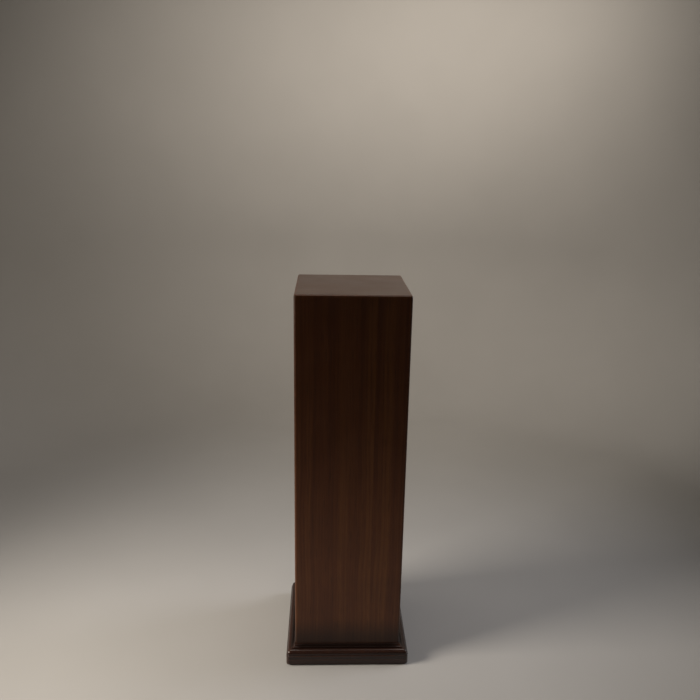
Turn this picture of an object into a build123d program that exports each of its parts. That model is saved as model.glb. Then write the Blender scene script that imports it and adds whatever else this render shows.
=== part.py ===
from build123d import *
import os

# Display plinth: a tall square pedestal of solid hardwood boards on a moulded foot.
# Four walls meet in long mitres that hold plywood splines, and a top panel is mitred
# flush into them.  Glue blocks, cleats and a bottom board stiffen the hollow shaft from
# inside, a profiled moulding is pinned round its foot, and nylon glides carry it.
# The origin is on the floor at the centre of the footprint, +Z is up and -Y is the front.

# Driving dimensions, in millimetres
overall_height = 914.0
shaft_width = 254.0
board = 19.0  # thickness of the boards, edge-glued from staves
arris = 5.0  # radius sanded on every outer edge of the shaft

moulding_depth = 21.0  # how far the moulding stands out from the shaft
moulding_corner = 9.0  # radius sanded on its upright outer corners
moulding_top = 49.0  # heights on the moulding are above the floor
fascia_top = 27.7
fascia_ease = 1.2
ledge = 1.6  # flat behind the fascia's top edge
ovolo_foot = 29.0
ovolo_top = 39.8
ovolo_radius = 11.2
quirk = 1.0  # flat behind the ovolo's top edge
cove_foot = 41.6
cove_radius = 5.8
lip = 1.6  # thickness of the edge above the cove
lip_chamfer = 0.6

glide_height = 3.0
glide_diameter = 25.0
glide_ease = 0.8  # radius on a glide's lower rim
glide_offset = 93.0  # from the plinth's centre to a glide's, along X and Y

spline_thickness = 3.2
spline_width = 12.0
spline_inset = 11.5  # from the shaft's faces to the spline's centre
spline_top_gap = 30.0  # from the top panel down to the end of the groove

block_leg = 28.0  # legs of a triangular glue block
block_length = 100.0
block_heights = (130.0, 400.0, 670.0)  # underside of each block above the floor

cleat = 22.0  # square section of the battens
bottom_thickness = 12.0

screw_shank = 4.0
screw_head = 8.0
screw_head_edge = 0.3  # upright rim of the countersunk head
screw_head_height = 2.4
recess_width = 4.2  # cross recess for the driver
recess_slot = 1.0
recess_depth = 1.8
screw_tip = 5.0
wall_screw_length = 35.0
top_screw_length = 35.0
bottom_screw_length = 30.0
wall_screw_offset = 60.0  # along the cleat, either side of its middle
upright_screw_offset = 30.0

pin_diameter = 1.4
pin_length = 30.0
pin_cover = 1.0  # filled and stained over the pin's head
pin_height = 14.0  # above the floor
pin_offset = 95.0

nail_shank = 2.0
nail_length = 19.0
nail_head = 6.0
nail_head_height = 0.8
nail_cover = 1.2  # nylon under the nail's head

# Derived dimensions
half = shaft_width / 2
hollow = shaft_width - 2 * board
foot = glide_height
top_underside = overall_height - board
cleat_run = hollow / 2 - cleat / 2  # from the centre to the middle of a cleat
moulding_half = half + moulding_depth

sides = {"front": 0, "right": 90, "back": 180, "left": 270}
corners = {"front_right": 0, "back_right": 90, "back_left": 180, "front_left": 270}

os.makedirs("parts", exist_ok=True)


def save(piece, label):
    """Name a finished piece and write it."""
    piece.part.label = label
    export_step(piece.part, f"parts/{label}.step")


def turned(x, y, turn):
    """The point (x, y) of the front or of the front right corner, carried round the plinth."""
    return Vector(x, y, 0).rotate(Axis.Z, turn)


def level(height, turn=0):
    """A horizontal plane at a height, carried round the plinth with its side."""
    return Plane.XY.offset(height).rotated((0, 0, turn))


def driven(x, y, z, way, turn=0):
    """Where a screw or pin lies: its head at a point of the front side, its tip along way."""
    x_dir = Vector(1, 0, 0).rotate(Axis.Z, turn)
    z_dir = Vector(*way).rotate(Axis.Z, turn)
    return Plane(origin=turned(x, y, turn) + Vector(0, 0, z), x_dir=x_dir, z_dir=z_dir).location


def wood_screw(length):
    """A countersunk wood screw with its head's face at the origin and its tip along +Z, and the
    same screw without its cross recess, to cut its hole."""
    with BuildPart() as screw:
        with BuildSketch(Plane.XZ):
            with BuildLine():
                Polyline(
                    (0, 0),
                    (screw_head / 2, 0),
                    (screw_head / 2, screw_head_edge),
                    (screw_shank / 2, screw_head_height),
                    (screw_shank / 2, length - screw_tip),
                    (0, length),
                    close=True,
                )
            make_face()
        revolve(axis=Axis.Z)
    with BuildPart() as finished:
        add(screw.part)
        with BuildSketch(Plane.XY):
            Rectangle(recess_width, recess_slot)
            Rectangle(recess_slot, recess_width)
        extrude(amount=recess_depth, mode=Mode.SUBTRACT)
    return finished, screw


def group(piece, places, label):
    """Like fasteners, each a separate solid, written as one node."""
    with BuildPart() as fasteners:
        with Locations(*places):
            add(piece.part)
    save(fasteners, label)


# Fasteners: one of each kind, and the places they are driven
wall_screw, wall_screw_hole = wood_screw(wall_screw_length)
top_screw, top_screw_hole = wood_screw(top_screw_length)
bottom_screw, bottom_screw_hole = wood_screw(bottom_screw_length)

with BuildPart() as moulding_pin:
    Cylinder(pin_diameter / 2, pin_length, align=(Align.CENTER, Align.CENTER, Align.MIN))

with BuildPart() as glide_nail:
    Cylinder(nail_head / 2, nail_head_height, align=(Align.CENTER, Align.CENTER, Align.MIN))
    Cylinder(nail_shank / 2, nail_length, align=(Align.CENTER, Align.CENTER, Align.MIN))

outward, inward, upward = (0, -1, 0), (0, 1, 0), (0, 0, 1)
cleat_inner_face = -(hollow / 2 - cleat)
top_cleat_middle = top_underside - cleat / 2
bottom_cleat_foot = foot + bottom_thickness
bottom_cleat_middle = bottom_cleat_foot + cleat / 2
pin_start = -(moulding_half - pin_cover)

wall_screw_places = [
    driven(x, cleat_inner_face, z, outward, turn)
    for turn in sides.values()
    for z in (bottom_cleat_middle, top_cleat_middle)
    for x in (-wall_screw_offset, wall_screw_offset)
]
top_screw_places = [
    driven(x, -cleat_run, top_underside - cleat, upward, turn)
    for turn in sides.values()
    for x in (-upright_screw_offset, upright_screw_offset)
]
bottom_screw_places = [
    driven(x, -cleat_run, foot, upward, turn)
    for turn in sides.values()
    for x in (-upright_screw_offset, upright_screw_offset)
]
pin_places = [
    driven(x, pin_start, pin_height, inward, turn)
    for turn in sides.values()
    for x in (-pin_offset, 0, pin_offset)
]
nail_places = [
    driven(glide_offset, -glide_offset, nail_cover, upward, turn) for turn in corners.values()
]

group(wall_screw, wall_screw_places, "cleat_wall_screws")
group(top_screw, top_screw_places, "top_panel_screws")
group(bottom_screw, bottom_screw_places, "bottom_board_screws")
group(moulding_pin, pin_places, "moulding_pins")
group(glide_nail, nail_places, "glide_nails")

# The shaft's outer shape, with its arrises rounded, which the walls and the top share
with BuildPart() as shaft_shape:
    with BuildSketch(level(foot)):
        Rectangle(shaft_width, shaft_width)
    extrude(amount=overall_height - foot)
    top_edges = shaft_shape.faces().sort_by(Axis.Z)[-1].edges()
    fillet(shaft_shape.edges().filter_by(Axis.Z) + top_edges, arris)

# The top panel's mitred edges: its underside is the size of the hollow, its face the shaft's
with BuildPart() as top_mitre:
    with BuildSketch(level(top_underside)):
        Rectangle(hollow, hollow)
    with BuildSketch(level(overall_height)):
        Rectangle(shaft_width, shaft_width)
    loft()

# Splines stand across each long mitre, near its inside corner
spline_length = top_underside - spline_top_gap - foot
for corner, turn in corners.items():
    with BuildPart() as spline:
        with BuildSketch(level(foot, turn)):
            with Locations((half - spline_inset, -(half - spline_inset))):
                Rectangle(spline_width, spline_thickness, rotation=45)
        extrude(amount=spline_length)
    save(spline, f"mitre_spline_{corner}")

# Walls: boards mitred to their neighbours and to the top, grooved for the splines
for side, turn in sides.items():
    with BuildPart() as wall:
        with BuildSketch(level(foot, turn)):
            Polygon(
                (-half, -half),
                (half, -half),
                (hollow / 2, -hollow / 2),
                (-hollow / 2, -hollow / 2),
                align=None,
            )
        extrude(amount=overall_height - foot)
        add(shaft_shape.part, mode=Mode.INTERSECT)
        add(top_mitre.part, mode=Mode.SUBTRACT)
        with BuildSketch(level(foot, turn)):
            for hand in (-1, 1):
                with Locations((hand * (half - spline_inset), -(half - spline_inset))):
                    Rectangle(spline_width, spline_thickness, rotation=45 * hand)
        extrude(amount=spline_length, mode=Mode.SUBTRACT)
        with Locations(*wall_screw_places):
            add(wall_screw_hole.part, mode=Mode.SUBTRACT)
        with Locations(*pin_places):
            add(moulding_pin.part, mode=Mode.SUBTRACT)
    save(wall, f"{side}_panel")

# Top panel: mitred all round and held from below by the screws through the cleats
with BuildPart() as top_panel:
    add(top_mitre.part)
    add(shaft_shape.part, mode=Mode.INTERSECT)
    with Locations(*top_screw_places):
        add(top_screw_hole.part, mode=Mode.SUBTRACT)
save(top_panel, "top_panel")

# Glue blocks: three triangular blocks up each inside corner
inside = hollow / 2
for corner, turn in corners.items():
    with BuildPart() as blocks:
        for height in block_heights:
            with BuildSketch(level(height, turn)):
                Polygon(
                    (inside, -inside),
                    (inside, -inside + block_leg),
                    (inside - block_leg, -inside),
                    align=None,
                )
            extrude(amount=block_length)
    save(blocks, f"corner_blocks_{corner}")

# Cleats: the front and back ones run wall to wall, the side ones fit between them
for ring, cleat_foot in (("top", top_underside - cleat), ("bottom", bottom_cleat_foot)):
    for side, turn in sides.items():
        length = hollow if side in ("front", "back") else hollow - 2 * cleat
        with BuildPart() as batten:
            with BuildSketch(level(cleat_foot, turn)):
                with Locations((0, -cleat_run)):
                    Rectangle(length, cleat)
            extrude(amount=cleat)
            with Locations(*wall_screw_places):
                add(wall_screw_hole.part, mode=Mode.SUBTRACT)
            with Locations(*top_screw_places):
                add(top_screw_hole.part, mode=Mode.SUBTRACT)
            with Locations(*bottom_screw_places):
                add(bottom_screw_hole.part, mode=Mode.SUBTRACT)
            with Locations(*nail_places):
                add(glide_nail.part, mode=Mode.SUBTRACT)
        save(batten, f"{ring}_cleat_{side}")

# Bottom board: set between the walls, flush with their feet
with BuildPart() as bottom_board:
    with BuildSketch(level(foot)):
        Rectangle(hollow, hollow)
    extrude(amount=bottom_thickness)
    with Locations(*bottom_screw_places):
        add(bottom_screw_hole.part, mode=Mode.SUBTRACT)
    with Locations(*nail_places):
        add(glide_nail.part, mode=Mode.SUBTRACT)
save(bottom_board, "bottom_board")

# Base moulding: an upright fascia with eased edges, an ovolo above it, and a cove that
# runs in to the shaft.  Each length is cut at 45 degrees to meet its neighbours.
ovolo_out = moulding_depth - ledge
cove_out = lip + cove_radius
for side, turn in sides.items():
    out = turned(0, -1, turn)
    section = Plane(origin=out * half, x_dir=out, z_dir=turned(-1, 0, turn))
    with BuildPart() as moulding:
        with BuildSketch(section):
            with BuildLine():
                fascia = Polyline(
                    (0, moulding_top),
                    (0, foot),
                    (moulding_depth - fascia_ease, foot),
                    (moulding_depth, foot + fascia_ease),
                    (moulding_depth, fascia_top - fascia_ease),
                )
                ease = RadiusArc(fascia @ 1, (moulding_depth - fascia_ease, fascia_top), -fascia_ease)
                step = Polyline(ease @ 1, (ovolo_out, fascia_top), (ovolo_out, ovolo_foot))
                ovolo = RadiusArc(step @ 1, (cove_out + quirk, ovolo_top), -ovolo_radius)
                quirk_step = Polyline(ovolo @ 1, (cove_out, ovolo_top), (cove_out, cove_foot))
                cove = RadiusArc(
                    quirk_step @ 1,
                    (lip, cove_foot + cove_radius),
                    cove_radius,
                )
                Polyline(
                    cove @ 1,
                    (lip, moulding_top - lip_chamfer),
                    (lip - lip_chamfer, moulding_top),
                    fascia @ 0,
                )
            make_face()
        extrude(amount=moulding_half, both=True)
        with BuildSketch(level(foot, turn)):
            RectangleRounded(2 * moulding_half, 2 * moulding_half, moulding_corner)
            Polygon(
                (0, 0),
                (-moulding_half, -moulding_half),
                (moulding_half, -moulding_half),
                align=None,
                mode=Mode.INTERSECT,
            )
        extrude(amount=moulding_top - foot, mode=Mode.INTERSECT)
        with Locations(*pin_places):
            add(moulding_pin.part, mode=Mode.SUBTRACT)
    save(moulding, f"base_moulding_{side}")

# Glides: nylon discs with an eased rim, each moulded round the head of its nail
for corner, turn in corners.items():
    with BuildPart() as glide:
        with BuildSketch(level(0, turn)):
            with Locations((glide_offset, -glide_offset)):
                Circle(glide_diameter / 2)
        extrude(amount=glide_height)
        fillet(glide.faces().sort_by(Axis.Z)[0].edges(), glide_ease)
        with Locations(*nail_places):
            add(glide_nail.part, mode=Mode.SUBTRACT)
    save(glide, f"glide_{corner}")
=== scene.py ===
import math

import bmesh
import bpy
from mathutils import Matrix, Vector


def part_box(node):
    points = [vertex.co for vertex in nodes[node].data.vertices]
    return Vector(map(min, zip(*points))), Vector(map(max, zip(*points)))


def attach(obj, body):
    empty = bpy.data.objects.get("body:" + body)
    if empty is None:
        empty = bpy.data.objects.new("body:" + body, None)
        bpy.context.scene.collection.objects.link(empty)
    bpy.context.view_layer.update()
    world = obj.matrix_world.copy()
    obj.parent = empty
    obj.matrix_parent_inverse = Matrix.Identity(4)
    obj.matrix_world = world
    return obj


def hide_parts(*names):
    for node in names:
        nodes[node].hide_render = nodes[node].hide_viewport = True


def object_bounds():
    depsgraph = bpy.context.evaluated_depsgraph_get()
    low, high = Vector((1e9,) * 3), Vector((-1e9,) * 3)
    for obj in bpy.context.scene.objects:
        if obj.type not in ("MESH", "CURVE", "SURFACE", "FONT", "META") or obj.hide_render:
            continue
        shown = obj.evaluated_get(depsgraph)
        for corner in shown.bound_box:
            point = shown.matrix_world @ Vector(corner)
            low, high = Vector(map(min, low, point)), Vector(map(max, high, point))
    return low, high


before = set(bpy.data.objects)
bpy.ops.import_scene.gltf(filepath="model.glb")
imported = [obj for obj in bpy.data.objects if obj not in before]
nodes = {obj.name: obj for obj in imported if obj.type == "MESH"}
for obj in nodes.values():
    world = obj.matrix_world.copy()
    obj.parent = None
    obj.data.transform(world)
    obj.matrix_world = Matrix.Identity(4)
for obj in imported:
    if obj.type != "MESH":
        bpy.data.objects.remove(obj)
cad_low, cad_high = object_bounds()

floor_level = cad_low.z

# ---------------------------------------------------------------------------
# Mitre splines and bottom board
# Birch plywood, sawn and left bare.  A spline is glued in the groove of each long mitre,
# and the bottom board is let in between the walls and screwed up into the cleats.
# ---------------------------------------------------------------------------


def linear(shade):
    """The linear colour of an sRGB hex value."""
    parts = [int(shade[i : i + 2], 16) / 255 for i in (0, 2, 4)]
    return tuple(p / 12.92 if p <= 0.04045 else ((p + 0.055) / 1.055) ** 2.4 for p in parts) + (1.0,)


def put(tree, kind, inputs=None, **settings):
    """Add a node with its settings, and set or link its inputs."""
    made = tree.nodes.new(kind)
    for option, value in settings.items():
        setattr(made, option, value)
    for socket, value in (inputs or {}).items():
        if isinstance(value, bpy.types.NodeSocket):
            tree.links.new(value, made.inputs[socket])
        else:
            made.inputs[socket].default_value = value
    return made


def finish_named(name):
    """A new material, its node tree, its shader and its object coordinates in millimetres."""
    material = bpy.data.materials.new(name)
    material.use_nodes = True
    tree = material.node_tree
    shader = tree.nodes["Principled BSDF"]
    place = put(tree, "ShaderNodeTexCoord").outputs["Object"]
    in_mm = put(tree, "ShaderNodeVectorMath", {0: place, "Scale": 1000.0}, operation="SCALE")
    return material, tree, shader, in_mm.outputs["Vector"]


def graded(tree, factor, stops):
    """The colours or greys of a ramp, read at a factor."""
    ramp = put(tree, "ShaderNodeValToRGB", {"Fac": factor})
    elements = ramp.color_ramp.elements
    elements[0].position, elements[0].color = stops[0]
    elements[1].position, elements[1].color = stops[-1]
    for position, colour in stops[1:-1]:
        elements.new(position).color = colour
    return ramp.outputs["Color"]


def wear(piece_names, material):
    """Give CAD pieces a finished material."""
    for piece in piece_names:
        nodes[piece].data.materials.clear()
        nodes[piece].data.materials.append(material)


def bare_wood(name, pale, dark, ring, along):
    """Sawn wood with no finish: growth rings of a given width in mm, forty times as long along one
    axis, and fibres a ninth as wide.  Real fibres are finer than this, and wouldn't show."""
    material, tree, shader, mm = finish_named(name)
    ring_length = 40 * ring
    fibre_share = 0.35  # of the colour's variation
    stretch = Vector((1 / ring, 1 / ring, 1 / ring))
    stretch[along] = 1 / ring_length
    rings = put(tree, "ShaderNodeVectorMath", {0: mm, 1: stretch}, operation="MULTIPLY")
    figure = put(tree, "ShaderNodeTexNoise", {"Vector": rings.outputs[0], "Scale": 1.0, "Detail": 3.0})
    fibres = put(
        tree,
        "ShaderNodeTexNoise",
        {"Vector": rings.outputs[0], "Scale": 9.0, "Detail": 2.0, "Roughness": 0.7},
    )
    both = put(
        tree,
        "ShaderNodeMath",
        {0: fibres.outputs["Fac"], 1: fibre_share, 2: figure.outputs["Fac"]},
        operation="MULTIPLY_ADD",
    )
    colour = graded(tree, both.outputs[0], [(0.5, linear(dark)), (0.85, linear(pale))])
    bump = put(
        tree,
        "ShaderNodeBump",
        {"Height": fibres.outputs["Fac"], "Strength": 0.35, "Distance": 0.0003},
    )
    tree.links.new(colour, shader.inputs["Base Color"])
    tree.links.new(bump.outputs[0], shader.inputs["Normal"])
    shader.inputs["Roughness"].default_value = 0.62
    shader.inputs["IOR"].default_value = 1.45
    return material


X, Y, Z = range(3)
# Bare rotary-cut birch: a pale, even face with long watery figure
birch_ply_bare = bare_wood("birch_plywood_sanded", "D3B48A", "A98458", 9.0, X)
birch_tongue_bare = bare_wood("birch_plywood_tongue", "C9A97C", "9C7A4F", 3.0, Z)
wear(["bottom_board"], birch_ply_bare)
wear([n for n in nodes if n.startswith("mitre_spline")], birch_tongue_bare)

# ---------------------------------------------------------------------------
# Cleats and corner blocks
# Planed pine battens and triangular offcuts, left bare, inside the hollow shaft.  The cleats
# are screwed to the walls, and the blocks are glued in the corners.
# ---------------------------------------------------------------------------

# Planed pine: broad soft rings with darker late wood, no finish
pine_along_x = bare_wood("pine_planed_along_x", "D9B57C", "A9783F", 4.5, X)
pine_along_y = bare_wood("pine_planed_along_y", "D6B178", "A5753D", 4.5, Y)
pine_upright = bare_wood("pine_planed_upright", "D2AC74", "A3733C", 4.5, Z)
wear([n for n in nodes if n.endswith(("cleat_front", "cleat_back"))], pine_along_x)
wear([n for n in nodes if n.endswith(("cleat_left", "cleat_right"))], pine_along_y)
wear([n for n in nodes if n.startswith("corner_blocks")], pine_upright)

# ---------------------------------------------------------------------------
# Screws, pins and nails
# Mild steel with bright zinc plate.  Countersunk screws hold the cleats, the top and the bottom
# board, pins hold the mouldings and nails hold the glides.
# ---------------------------------------------------------------------------
zinc_plate, tree, shader, mm = finish_named("zinc_plated_steel")
# Zinc plating: a soft bluish metal shine, its patchy dullness drawn about 1 mm across, as finer
# patches wouldn't show
patches_per_mm = 0.9
patches = put(tree, "ShaderNodeTexNoise", {"Vector": mm, "Scale": patches_per_mm, "Detail": 3.0})
colour = graded(
    tree, patches.outputs["Fac"], [(0.35, linear("A9ABAE")), (0.7, linear("D3D2CC"))]
)
dullness = put(
    tree,
    "ShaderNodeMapRange",
    {"Value": patches.outputs["Fac"], "From Min": 0.3, "From Max": 0.7, "To Min": 0.30, "To Max": 0.46},
)
bump = put(
    tree, "ShaderNodeBump", {"Height": patches.outputs["Fac"], "Strength": 0.2, "Distance": 0.0001}
)
tree.links.new(colour, shader.inputs["Base Color"])
tree.links.new(dullness.outputs[0], shader.inputs["Roughness"])
tree.links.new(bump.outputs[0], shader.inputs["Normal"])
shader.inputs["Metallic"].default_value = 1.0
wear([n for n in nodes if n.endswith(("screws", "pins", "nails"))], zinc_plate)

# ---------------------------------------------------------------------------
# Walls and top
# Solid boards, edge-glued from staves about 60 mm wide, planed, mitred together and sanded
# round at the arrises, then stained walnut brown and lacquered.  The grain of the walls is
# upright, and the top's runs from side to side.
# ---------------------------------------------------------------------------
front_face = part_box("front_panel")[0].y
half = -front_face
shaft_width = 2 * half
top_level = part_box("top_panel")[1].z
moulding_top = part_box("base_moulding_front")[1].z


def stained_board(name, across, depth, along, shift, painted_light_factor):
    """Walnut-stained hardwood under satin lacquer: straight grain in upright streaks, each stave a
    little different, dark pores, mottled stain, and arrises drawn lighter in patches.
    across, depth and along are the board's axes, and shift picks its own stretch of wood."""
    material, tree, shader, mm = finish_named(name)
    axes = put(tree, "ShaderNodeSeparateXYZ", {0: mm})

    def arithmetic(operation, *values):
        """The result of one step of arithmetic on values or sockets."""
        return put(tree, "ShaderNodeMath", dict(enumerate(values)), operation=operation).outputs[0]

    def figure(width, thickness, length, grain, detail, offset=0.0):
        """Noise stretched along the grain, its cell as wide, thick and long as given in mm."""
        where = put(
            tree,
            "ShaderNodeCombineXYZ",
            {
                0: arithmetic("DIVIDE", grain, width),
                1: arithmetic("MULTIPLY_ADD", axes.outputs[depth], 1 / thickness, offset),
                2: arithmetic("DIVIDE", axes.outputs[along], length),
            },
        )
        return put(
            tree, "ShaderNodeTexNoise", {"Vector": where.outputs[0], "Scale": 1.0, "Detail": detail}
        ).outputs["Fac"]

    # Staves about 60 mm wide, each showing another stretch of wood
    stave_width = 61.0
    stave_apart = 400.0  # between the stretches of wood that two staves may show
    moved = arithmetic("ADD", axes.outputs[across], shift)
    stave = arithmetic("FLOOR", arithmetic("DIVIDE", moved, stave_width))
    chance = put(tree, "ShaderNodeTexWhiteNoise", {"W": stave}, noise_dimensions="1D")
    tone = chance.outputs["Value"]
    # The grain wanders sideways by a few millimetres over each 250 mm of length
    widest_sway = 14.0
    sway = figure(160.0, 400.0, 250.0, moved, 1.0, offset=3.0)
    apart = arithmetic("MULTIPLY_ADD", tone, stave_apart, moved)
    grain = arithmetic("MULTIPLY_ADD", sway, widest_sway, apart)

    # Growth rings cut along show as bands about 20 mm wide with 6 mm lines in them.  Real fibres
    # and pores are 0.1 to 0.4 mm wide: they are drawn about 2 mm wide, since finer ones wouldn't show.
    bands = figure(20.0, 90.0, 2400.0, grain, 1.0)
    lines = figure(6.0, 60.0, 1500.0, grain, 1.0, offset=7.0)
    fibres = figure(2.4, 8.0, 160.0, grain, 0.0, offset=11.0)
    pores = figure(1.8, 6.0, 40.0, grain, 0.0, offset=17.0)
    pore_cut = graded(tree, pores, [(0.58, (0, 0, 0, 1)), (0.78, (1, 1, 1, 1))])

    band_share, line_share, fibre_share, stave_share = 0.42, 0.36, 0.22, 0.05
    mix = arithmetic("MULTIPLY_ADD", bands, band_share, arithmetic("MULTIPLY", lines, line_share))
    mix = arithmetic("MULTIPLY_ADD", fibres, fibre_share, mix)
    mix = arithmetic("MULTIPLY_ADD", tone, stave_share, mix)
    brown = graded(
        tree,
        mix,
        [
            (0.40, linear("351A0A")),
            (0.50, linear("3A1D0B")),
            (0.58, linear("3F220E")),
            (0.70, linear("462811")),
        ],
    )
    # Stain takes unevenly, in soft clouds
    cloud_size = 120.0
    clouds = put(
        tree, "ShaderNodeTexNoise", {"Vector": mm, "Scale": 1 / cloud_size, "Detail": 2.0}
    ).outputs["Fac"]
    cloud_tint = graded(
        tree, clouds, [(0.35, (0.93, 0.92, 0.91, 1)), (0.65, (1.05, 1.06, 1.07, 1))]
    )
    clouded = put(
        tree,
        "ShaderNodeMix",
        {0: 1.0, 6: brown, 7: cloud_tint},
        data_type="RGBA",
        blend_type="MULTIPLY",
    ).outputs[2]
    pore_depth = 0.3  # of the way to the colour of stain caught in a pore
    pored = put(
        tree,
        "ShaderNodeMix",
        {0: arithmetic("MULTIPLY", pore_cut, pore_depth), 6: clouded, 7: linear("150904")},
        data_type="RGBA",
    ).outputs[2]

    # Distance in mm to the nearest arris: the middle one of the distances to three outer faces
    from_x = arithmetic("SUBTRACT", half * 1000, arithmetic("ABSOLUTE", axes.outputs[X]))
    from_y = arithmetic("SUBTRACT", half * 1000, arithmetic("ABSOLUTE", axes.outputs[Y]))
    from_top = arithmetic("SUBTRACT", top_level * 1000, axes.outputs[Z])
    nearer_side = arithmetic("MINIMUM", from_x, from_y)
    further_side = arithmetic("MAXIMUM", from_x, from_y)
    arris = arithmetic("MAXIMUM", nearer_side, arithmetic("MINIMUM", further_side, from_top))
    near = put(
        tree,
        "ShaderNodeMapRange",
        {"Value": arris, "From Min": 1.0, "From Max": 9.0, "To Min": 1.0, "To Max": 0.0},
        interpolation_type="SMOOTHSTEP",
    ).outputs[0]
    rub_size = 14.0
    rubs = put(
        tree, "ShaderNodeTexNoise", {"Vector": mm, "Scale": 1 / rub_size, "Detail": 4.0}
    ).outputs["Fac"]
    # The lighter arrises fade out going down, from the upper height in mm to the lower
    wear_fades_at, wear_full_at = 150.0, 650.0
    wear_by_height = put(
        tree,
        "ShaderNodeMapRange",
        {
            "Value": axes.outputs[Z],
            "From Min": wear_fades_at,
            "From Max": wear_full_at,
            "To Min": 0.1,
            "To Max": 1.0,
        },
    ).outputs[0]
    rubbed = arithmetic(
        "MULTIPLY",
        arithmetic("MULTIPLY", near, wear_by_height),
        graded(tree, rubs, [(0.45, (0.1, 0.1, 0.1, 1)), (0.7, (0.7, 0.7, 0.7, 1))]),
    )
    worn = put(
        tree, "ShaderNodeMix", {0: rubbed, 6: pored, 7: linear("54301A")}, data_type="RGBA"
    ).outputs[2]
    # Shade is painted into the colour, much darker in the last stretch above the moulding, and light is
    # painted into it, paler low on the shaft than high.  These factors are a choice of looks.
    painted_foot_shade_height, darkest_painted_foot_shade = 90.0, 0.30
    painted_light_low, painted_shade_high = 1.45, 0.8
    painted_foot_shade = put(
        tree,
        "ShaderNodeMapRange",
        {
            "Value": axes.outputs[Z],
            "From Min": moulding_top * 1000,
            "From Max": moulding_top * 1000 + painted_foot_shade_height,
            "To Min": darkest_painted_foot_shade,
            "To Max": 1.0,
        },
        interpolation_type="SMOOTHERSTEP",
    ).outputs[0]
    painted_light_by_height = put(
        tree,
        "ShaderNodeMapRange",
        {
            "Value": axes.outputs[Z],
            "From Min": top_level * 1000 * 0.25,
            "From Max": top_level * 1000 * 0.75,
            "To Min": painted_light_low,
            "To Max": painted_shade_high,
        },
        interpolation_type="SMOOTHSTEP",
    ).outputs[0]
    # Painted shade at the foot and painted light low down, together
    painted_by_height = arithmetic("MULTIPLY", painted_foot_shade, painted_light_by_height)
    # Painted light: the top's colour is scaled up, as if lit more strongly
    shade = arithmetic("MULTIPLY", painted_by_height, painted_light_factor)
    shaded = put(
        tree, "ShaderNodeVectorMath", {0: worn, "Scale": shade}, operation="SCALE"
    ).outputs["Vector"]
    tree.links.new(shaded, shader.inputs["Base Color"])

    # Satin lacquer: duller and shinier patches, and orange peel drawn 2.5 mm across, since a finer
    # one wouldn't show
    patch_size, peel_size = 60.0, 2.5
    patches = put(
        tree, "ShaderNodeTexNoise", {"Vector": mm, "Scale": 1 / patch_size, "Detail": 3.0}
    ).outputs["Fac"]
    sheen = put(
        tree,
        "ShaderNodeMapRange",
        {"Value": patches, "From Min": 0.3, "From Max": 0.7, "To Min": 0.29, "To Max": 0.34},
    ).outputs[0]
    tree.links.new(sheen, shader.inputs["Roughness"])
    peel = put(
        tree, "ShaderNodeTexNoise", {"Vector": mm, "Scale": 1 / peel_size, "Detail": 1.0}
    ).outputs["Fac"]
    fibre_rise, peel_rise, pore_rise = 0.35, 0.35, -0.5
    height = arithmetic("MULTIPLY_ADD", fibres, fibre_rise, arithmetic("MULTIPLY", peel, peel_rise))
    height = arithmetic("MULTIPLY_ADD", pore_cut, pore_rise, height)
    bump = put(tree, "ShaderNodeBump", {"Height": height, "Strength": 0.05, "Distance": 0.0004})
    tree.links.new(bump.outputs[0], shader.inputs["Normal"])
    shader.inputs["IOR"].default_value = 1.38
    return material


# Each board's axes across, through and along its grain, its shift in mm, and its painted light: the top
# is painted 1.95 times as light as the walls, as light on its upper face
board_finishes = {
    "front_panel": (X, Y, Z, 131.0, 1.0),
    "right_panel": (Y, X, Z, 517.0, 1.0),
    "back_panel": (X, Y, Z, 905.0, 1.0),
    "left_panel": (Y, X, Z, 1303.0, 1.0),
    "top_panel": (Y, Z, X, 1721.0, 1.95),
}
for panel, (across, depth, along, shift, painted_light_factor) in board_finishes.items():
    finish = stained_board(f"walnut_stain_satin_{panel}", across, depth, along, shift, painted_light_factor)
    wear([panel], finish)

# ---------------------------------------------------------------------------
# Base moulding
# Four lengths of solid moulding, run on a spindle moulder, mitred at 45 degrees, pinned round the
# shaft's foot and rounded at the corners with the sanding block.  Finished a little glossier than the
# shaft, with stain pooled and shade painted in the quirk and the cove, and a painted shadow along the
# foot.
# ---------------------------------------------------------------------------
moulding_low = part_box("base_moulding_front")[0]
moulding_foot = moulding_low.z
moulding_depth = front_face - moulding_low.y
# The cutter's profile in metres: heights are above the floor
fascia_top = 0.0277
fascia_ease = 0.0012  # on the fascia's upper and lower edges
ledge = 0.0016  # flat behind the fascia's top edge
ovolo_foot = 0.0290
ovolo_top = 0.0398
ovolo_radius = 0.0112
quirk = 0.0010  # flat behind the ovolo's top edge
cove_foot = 0.0416
cove_radius = 0.0058
lip = 0.0016  # upright edge above the cove
lip_chamfer = 0.0006
# Rounded corners, lighter edges, and hollows darkened with painted shade and pooled stain
corner_round = 0.0090  # on the fascia, and less on the members set back from it
least_round = 0.0004
mitre_wear_reach = 0.007  # how far in from a mitre the edges are drawn lighter
shade_and_stain_reach = 0.020  # how far in from a mitre the painted shade and stain in the hollows reach full dark
painted_shadow_line_top = 0.0058  # of the painted shadow line along the foot, which then fades up the fascia
fascia_levels = (0.009, 0.014, 0.020, 0.0255)  # more points up the fascia


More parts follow.
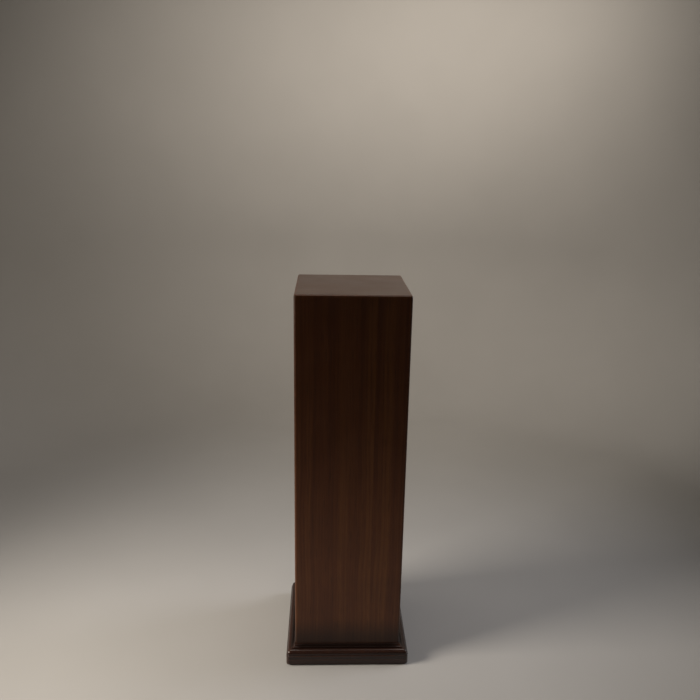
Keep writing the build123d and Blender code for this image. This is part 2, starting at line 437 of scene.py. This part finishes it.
def arc_between(start, end, radius, steps, bulge):
    """Points of a circular arc after its start, up to its end.  bulge is 1 for a convex member."""
    (x0, z0), (x1, z1) = start, end
    chord = math.hypot(x1 - x0, z1 - z0)
    rise = math.sqrt(max(radius**2 - chord**2 / 4, 0.0))
    middle = ((x0 + x1) / 2, (z0 + z1) / 2)
    normal = ((z1 - z0) / chord, -(x1 - x0) / chord)
    centre = (middle[0] - bulge * rise * normal[0], middle[1] - bulge * rise * normal[1])
    a0 = math.atan2(z0 - centre[1], x0 - centre[0])
    turn = math.atan2(z1 - centre[1], x1 - centre[0]) - a0
    turn = (turn + math.pi) % (2 * math.pi) - math.pi
    return [
        (
            centre[0] + radius * math.cos(a0 + turn * i / steps),
            centre[1] + radius * math.sin(a0 + turn * i / steps),
        )
        for i in range(1, steps + 1)
    ]


def moulding_section():
    """The moulding's outline as (distance out, height, wear, painted shade and pooled stain), from its
    back foot.
    """
    ovolo_out = moulding_depth - ledge
    cove_out = cove_radius + lip
    # Underside and fascia, with a painted shadow along the foot
    line = [(0.0, moulding_foot, 0, 1.0), (moulding_depth - fascia_ease, moulding_foot, 0, 1.0)]
    line += [(moulding_depth, moulding_foot + fascia_ease, 0, 1.0)]
    line += [(moulding_depth, painted_shadow_line_top, 0, 0.2)]
    line += [(moulding_depth, level, 0, 0) for level in fascia_levels]
    # Its eased top edge, and the ledge behind it
    fascia_wear = 0.6
    start = (moulding_depth, fascia_top - fascia_ease)
    line += [(*start, fascia_wear, 0)]
    line += [
        (*p, fascia_wear, 0)
        for p in arc_between(start, (moulding_depth - fascia_ease, fascia_top), fascia_ease, 5, 1)
    ]
    line += [(ovolo_out, fascia_top, 0, 0.5), (ovolo_out, ovolo_foot, 0, 0.5)]
    # Ovolo, lightest on its fullest part
    ovolo_wear, ovolo_steps = 0.35, 14
    top_of_ovolo = (cove_out + quirk, ovolo_top)
    bow = arc_between((ovolo_out, ovolo_foot), top_of_ovolo, ovolo_radius, ovolo_steps, 1)
    line += [
        (*p, ovolo_wear * math.sin(math.pi * i / (ovolo_steps - 1)), 0) for i, p in enumerate(bow)
    ]
    # Quirk, cove and lip, darkened with painted shade and pooled stain
    line += [(cove_out, ovolo_top, 0, 1.0), (cove_out, cove_foot, 0, 1.0)]
    lip_foot = (cove_out - cove_radius, cove_foot + cove_radius)
    hollow = arc_between((cove_out, cove_foot), lip_foot, cove_radius, 12, -1)
    line += [(*p, 0, 1.0) for p in hollow]
    line += [(lip, moulding_top - lip_chamfer, 0.2, 0.6), (lip - lip_chamfer, moulding_top, 0.2, 0.6)]
    line += [(0.0, moulding_top, 0, 0.9)]
    return line


def moulding_length(name, turn):
    """One mitred length, from the middle of one rounded corner to the middle of the next."""
    section = moulding_section()
    straight, corner_steps = 40, 6  # stations along the length and round half a corner
    mitre_wear = 0.8
    glued_back = 0.0005  # nothing closer to the shaft than this is lightened
    around = Matrix.Rotation(math.radians(turn), 4, "Z")
    mesh = bmesh.new()
    worn = mesh.verts.layers.float.new("worn_edge")
    shade_and_stain = mesh.verts.layers.float.new("painted_shade_and_stain")
    stations = []
    count = 2 * corner_steps + straight + 1
    for s in range(count):
        row = []
        for out, height, edge, shade_and_stain_level in section:
            bend = max(corner_round - (moulding_depth - out), least_round)
            reach = half + out - bend
            if s < corner_steps or s > count - 1 - corner_steps:
                hand = -1 if s < corner_steps else 1
                step = corner_steps - s if hand < 0 else s - (count - 1 - corner_steps)
                angle = math.radians(45) * step / corner_steps
                x = hand * (reach + bend * math.sin(angle))
                y = -(reach + bend * math.cos(angle))
            else:
                x = reach * (2 * (s - corner_steps) / straight - 1)
                y = -(half + out)
            vertex = mesh.verts.new(around @ Vector((x, y, height)))
            from_mitre = abs(half + out - abs(x))
            at_corner = max(0.0, 1 - from_mitre / mitre_wear_reach)
            vertex[worn] = min(1.0, edge + mitre_wear * at_corner * (out > glued_back))
            vertex[shade_and_stain] = shade_and_stain_level * min(1.0, from_mitre / shade_and_stain_reach)
            row.append(vertex)
        stations.append(row)
    size = len(section)
    for before, after in zip(stations, stations[1:]):
        for i in range(size):
            j = (i + 1) % size
            mesh.faces.new((before[i], after[i], after[j], before[j]))
    mesh.faces.new(reversed(stations[0]))
    mesh.faces.new(stations[-1])
    bmesh.ops.recalc_face_normals(mesh, faces=mesh.faces)
    data = bpy.data.meshes.new(name)
    mesh.to_mesh(data)
    mesh.free()
    piece = bpy.data.objects.new(name, data)
    bpy.context.scene.collection.objects.link(piece)
    data.shade_smooth()
    sharpest_smooth = 28  # degrees between faces: steeper edges stay crisp
    data.set_sharp_from_angle(angle=math.radians(sharpest_smooth))
    return piece


def stained_moulding(name, across, along, shift):
    """Walnut-stained hardwood moulding under semi-gloss lacquer: fine grain along its length, edges
    drawn lighter, and hollows and foot drawn darker with painted shade and pooled stain."""
    material, tree, shader, mm = finish_named(name)
    axes = put(tree, "ShaderNodeSeparateXYZ", {0: mm})
    where = put(
        tree,
        "ShaderNodeCombineXYZ",
        {0: axes.outputs[across], 1: axes.outputs[Z], 2: axes.outputs[along]},
    )
    # Grain lines about 7 mm wide, and fibres drawn 1.2 mm wide, as real ones wouldn't show
    streaks = []
    for width, length, detail in ((7.0, 420.0, 4.0), (1.2, 60.0, 3.0)):
        stretched = put(
            tree,
            "ShaderNodeVectorMath",
            {0: where.outputs[0], 1: (1 / width, 1 / width, 1 / length), 2: (shift, 0, 0)},
            operation="MULTIPLY_ADD",
        )
        noise = put(
            tree,
            "ShaderNodeTexNoise",
            {"Vector": stretched.outputs[0], "Scale": 1.0, "Detail": detail, "Roughness": 0.6},
        )
        streaks.append(noise.outputs["Fac"])
    lines, fibres = streaks
    fibre_share, fibre_rise = 0.3, 0.5
    mix = put(
        tree, "ShaderNodeMath", {0: fibres, 1: fibre_share, 2: lines}, operation="MULTIPLY_ADD"
    ).outputs[0]
    brown = graded(
        tree, mix, [(0.48, linear("1B110E")), (0.64, linear("251713")), (0.82, linear("321F19"))]
    )
    # Painted shade and pooled stain darken the hollows, and a painted shadow darkens the foot
    shade_and_stain = put(tree, "ShaderNodeAttribute", attribute_name="painted_shade_and_stain").outputs["Fac"]
    shade_and_stain_depth = 0.8
    shade_and_stain_amount = put(
        tree, "ShaderNodeMath", {0: shade_and_stain, 1: shade_and_stain_depth}, operation="MULTIPLY"
    ).outputs[0]
    deep = put(
        tree, "ShaderNodeMix", {0: shade_and_stain_amount, 6: brown, 7: linear("0D0705")}, data_type="RGBA"
    ).outputs[2]
    edge = put(tree, "ShaderNodeAttribute", attribute_name="worn_edge").outputs["Fac"]
    rub_size = 11.0
    rubs = put(
        tree, "ShaderNodeTexNoise", {"Vector": mm, "Scale": 1 / rub_size, "Detail": 4.0}
    ).outputs["Fac"]
    patchy = graded(tree, rubs, [(0.42, (0.12, 0.12, 0.12, 1)), (0.68, (0.75, 0.75, 0.75, 1))])
    edge_amount = put(tree, "ShaderNodeMath", {0: edge, 1: patchy}, operation="MULTIPLY").outputs[0]
    worn = put(
        tree, "ShaderNodeMix", {0: edge_amount, 6: deep, 7: linear("402618")}, data_type="RGBA"
    ).outputs[2]
    gloss = put(
        tree,
        "ShaderNodeMapRange",
        {"Value": rubs, "From Min": 0.3, "From Max": 0.7, "To Min": 0.17, "To Max": 0.25},
    ).outputs[0]
    height = put(
        tree, "ShaderNodeMath", {0: fibres, 1: fibre_rise, 2: lines}, operation="MULTIPLY_ADD"
    ).outputs[0]
    bump = put(tree, "ShaderNodeBump", {"Height": height, "Strength": 0.12, "Distance": 0.0003})
    # The hollows are also drawn with less shine
    shine = put(
        tree, "ShaderNodeMapRange", {"Value": shade_and_stain, "To Min": 0.5, "To Max": 0.15}
    ).outputs[0]
    tree.links.new(worn, shader.inputs["Base Color"])
    tree.links.new(shine, shader.inputs["Specular IOR Level"])
    tree.links.new(gloss, shader.inputs["Roughness"])
    tree.links.new(bump.outputs[0], shader.inputs["Normal"])
    shader.inputs["IOR"].default_value = 1.42
    return material


moulding_turns = {"front": 0, "right": 90, "back": 180, "left": 270}
for side, turn in moulding_turns.items():
    across, along = (Y, X) if side in ("front", "back") else (X, Y)
    own_grain = 3.7 + turn  # shifts the pattern, so that no two lengths look alike
    length = moulding_length(f"moulded_base_{side}", turn)
    length.data.materials.append(
        stained_moulding(f"walnut_stain_semigloss_{side}", across, along, own_grain)
    )
    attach(length, "root")
    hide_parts(f"base_moulding_{side}")

# ---------------------------------------------------------------------------
# Glides
# Injection-moulded nylon discs under the foot, which lift the plinth 3 mm off the floor.
# Each is fixed by one nail.
# ---------------------------------------------------------------------------
nylon, tree, shader, mm = finish_named("nylon_moulded")
# Moulded nylon: a waxy dark brown, its satin texture drawn 0.6 mm across, coarser than real, with
# duller patches 4 mm across
texture_size, scuff_size = 0.625, 4.0
texture = put(
    tree, "ShaderNodeTexNoise", {"Vector": mm, "Scale": 1 / texture_size, "Detail": 2.0}
).outputs["Fac"]
scuffs = put(
    tree, "ShaderNodeTexNoise", {"Vector": mm, "Scale": 1 / scuff_size, "Detail": 5.0}
).outputs["Fac"]
colour = graded(tree, scuffs, [(0.4, linear("1E1814")), (0.75, linear("3C342D"))])
bump = put(tree, "ShaderNodeBump", {"Height": texture, "Strength": 0.25, "Distance": 0.0001})
dullness = put(
    tree,
    "ShaderNodeMapRange",
    {"Value": scuffs, "From Min": 0.3, "From Max": 0.7, "To Min": 0.38, "To Max": 0.6},
)
tree.links.new(colour, shader.inputs["Base Color"])
tree.links.new(dullness.outputs[0], shader.inputs["Roughness"])
tree.links.new(bump.outputs[0], shader.inputs["Normal"])
shader.inputs["IOR"].default_value = 1.53
wear([n for n in nodes if n.startswith("glide_") and n != "glide_nails"], nylon)

# ---------------------------------------------------------------------------
# Studio
# A round paper floor that curves up into a plain wall, and rectangular soft lights that the
# camera doesn't see.  None of it is part of the plinth.
# ---------------------------------------------------------------------------
floor_radius, sweep_radius, wall_height = 1.55, 0.75, 2.6
sweep_steps = 18
outline = [(r, floor_level) for r in (0.4, 0.9, floor_radius)]
for i in range(1, sweep_steps + 1):
    angle = math.radians(90) * i / sweep_steps
    outline.append(
        (
            floor_radius + sweep_radius * math.sin(angle),
            floor_level + sweep_radius * (1 - math.cos(angle)),
        )
    )
outline.append((floor_radius + sweep_radius, wall_height))
sides = 128
mesh = bmesh.new()
centre = mesh.verts.new((0, 0, floor_level))
rings = [
    [
        mesh.verts.new(
            (r * math.cos(2 * math.pi * k / sides), r * math.sin(2 * math.pi * k / sides), z)
        )
        for k in range(sides)
    ]
    for r, z in outline
]
for k in range(sides):
    mesh.faces.new((centre, rings[0][k], rings[0][(k + 1) % sides]))
for inner, outer in zip(rings, rings[1:]):
    for k in range(sides):
        n = (k + 1) % sides
        mesh.faces.new((inner[k], outer[k], outer[n], inner[n]))
data = bpy.data.meshes.new("studio_sweep")
mesh.to_mesh(data)
mesh.free()
data.shade_smooth()
sweep = bpy.data.objects.new("studio_sweep", data)
bpy.context.scene.collection.objects.link(sweep)
# Matt paper: pale grey with a faint cloudiness
paper, tree, shader, mm = finish_named("pale_grey_paper")
cloud_size = 300.0
clouds = put(
    tree, "ShaderNodeTexNoise", {"Vector": mm, "Scale": 1 / cloud_size, "Detail": 2.0}
).outputs["Fac"]
colour = graded(tree, clouds, [(0.3, linear("ABAAA8")), (0.7, linear("AEADAB"))])
tree.links.new(colour, shader.inputs["Base Color"])
shader.inputs["Roughness"].default_value = 0.75
data.materials.append(paper)

world = bpy.data.worlds.new("studio_air")
world.use_nodes = True
world.node_tree.nodes["Background"].inputs["Color"].default_value = linear("D8DCE0")
world.node_tree.nodes["Background"].inputs["Strength"].default_value = 0.03
bpy.context.scene.world = world


def softbox(name, spot, aim, width, height, watts, shade, spread):
    """A rectangular soft light at a spot, facing a point, its beam closed in to a spread in degrees."""
    lamp = bpy.data.lights.new(name, "AREA")
    lamp.shape = "RECTANGLE"
    lamp.size, lamp.size_y = width, height
    lamp.energy = watts
    lamp.color = linear(shade)[:3]
    lamp.spread = math.radians(spread)
    stand = bpy.data.objects.new(name, lamp)
    stand.location = spot
    stand.rotation_mode = "QUATERNION"
    stand.rotation_quaternion = (Vector(aim) - Vector(spot)).to_track_quat("-Z", "Y")
    stand.visible_camera = False
    bpy.context.scene.collection.objects.link(stand)


# The window box is aimed low and rakes across the front, and the other boxes fill in
softbox("left_window", (-1.9, -0.6, 1.0), (0, -0.1, 0.1), 0.8, 0.8, 10, "FFF4E6", 70)
softbox("ceiling_box", (0.0, 0.1, 2.4), (0, 0, 0), 1.6, 0.7, 2.8, "FFF6EA", 85)
softbox("right_fill_box", (1.9, 0.4, 1.1), (0, 0, 0.45), 0.9, 0.9, 3.2, "F6F6FF", 62)
softbox("left_wall_box", (-0.9, 0.3, 2.4), (-2.3, 0.0, 1.0), 1.2, 0.5, 5, "FFF2E2", 110)
softbox("back_wall_box", (0.4, 0.9, 2.3), (0.2, 2.2, 1.2), 1.4, 0.5, 15, "FFF2E2", 120)

# ---------------------------------------------------------------------------
# Camera
# In front of the plinth and above its top, tipped down at it.
# ---------------------------------------------------------------------------
camera = bpy.data.cameras.new("camera")
camera.sensor_width = 36.0
camera.lens = 36.48
camera.clip_start, camera.clip_end = 0.05, 50
eye = bpy.data.objects.new("camera", camera)
bpy.context.scene.collection.objects.link(eye)
yaw, pitch, roll = math.radians(2.094), math.radians(15.925), math.radians(0.997)
forward = Vector((math.sin(yaw) * math.cos(pitch), math.cos(yaw) * math.cos(pitch), -math.sin(pitch)))
level_right = Vector((math.cos(yaw), -math.sin(yaw), 0))
level_up = level_right.cross(forward)
right = math.cos(roll) * level_right + math.sin(roll) * level_up
up = math.cos(roll) * level_up - math.sin(roll) * level_right
eye.matrix_world = Matrix((right, up, -forward)).transposed().to_4x4()
eye.location = Vector((-0.2342, -6.2912, 4.7788)) * shaft_width
bpy.context.scene.camera = eye
bpy.context.scene.view_settings.view_transform = "Standard"
